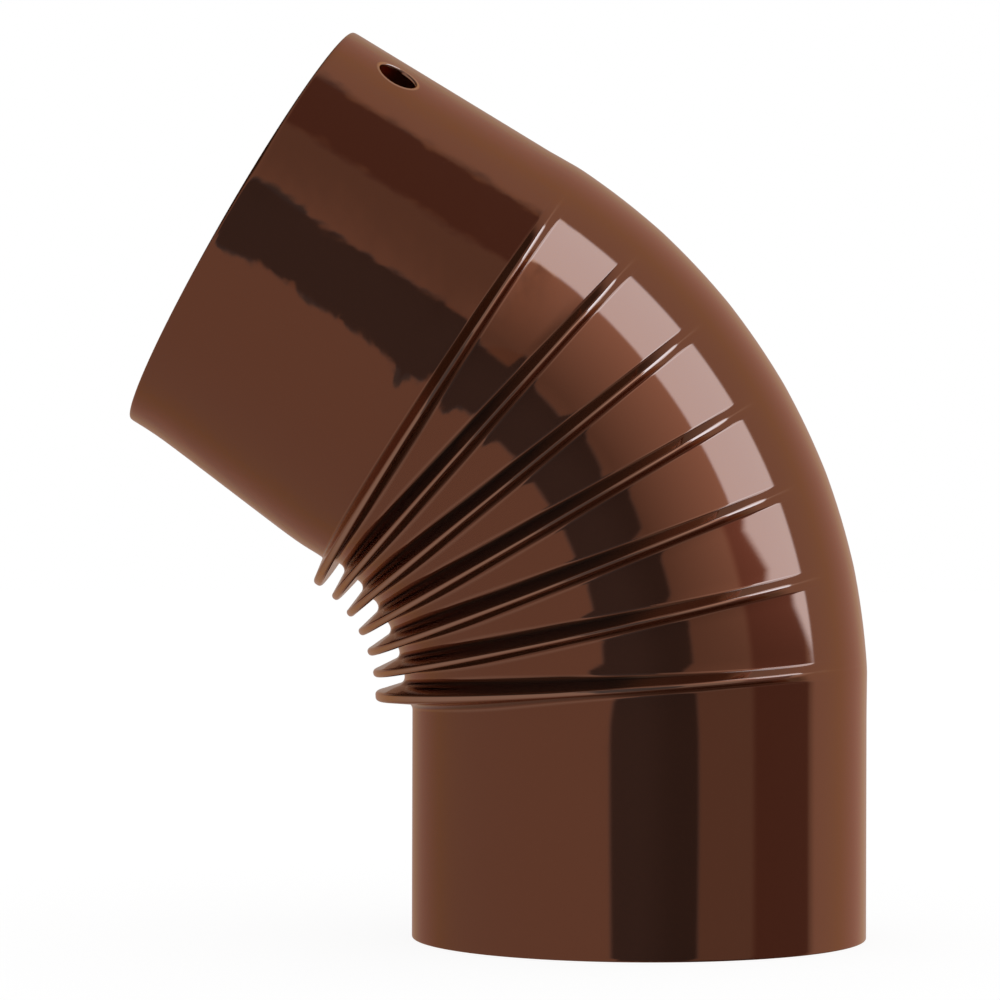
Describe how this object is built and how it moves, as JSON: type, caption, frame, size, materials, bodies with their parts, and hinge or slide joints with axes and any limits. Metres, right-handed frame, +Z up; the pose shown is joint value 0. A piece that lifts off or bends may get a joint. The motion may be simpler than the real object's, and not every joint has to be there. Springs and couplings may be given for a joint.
{
  "type": "stovepipe elbow",
  "caption": "Brown enamelled steel flue elbow, bent sixty degrees by thin crimped folds, with a plain socket at one end, a plain spigot at the other and a small hanging hole.",
  "frame": {"origin": "centre of the socket's rim, the end that the elbow stands on", "axes": "+Z up the socket into the elbow; the bend turns towards -X about an axis parallel to Y, so the spigot points up and towards -X"},
  "size_m": [0.1949, 0.13, 0.239],
  "materials": {
    "enamel": "glossy brown vitreous enamel on sheet steel, fired on both faces"
  },
  "bodies": {
    "root": {"elbow": "enamel"}
  },
  "joints": []
}
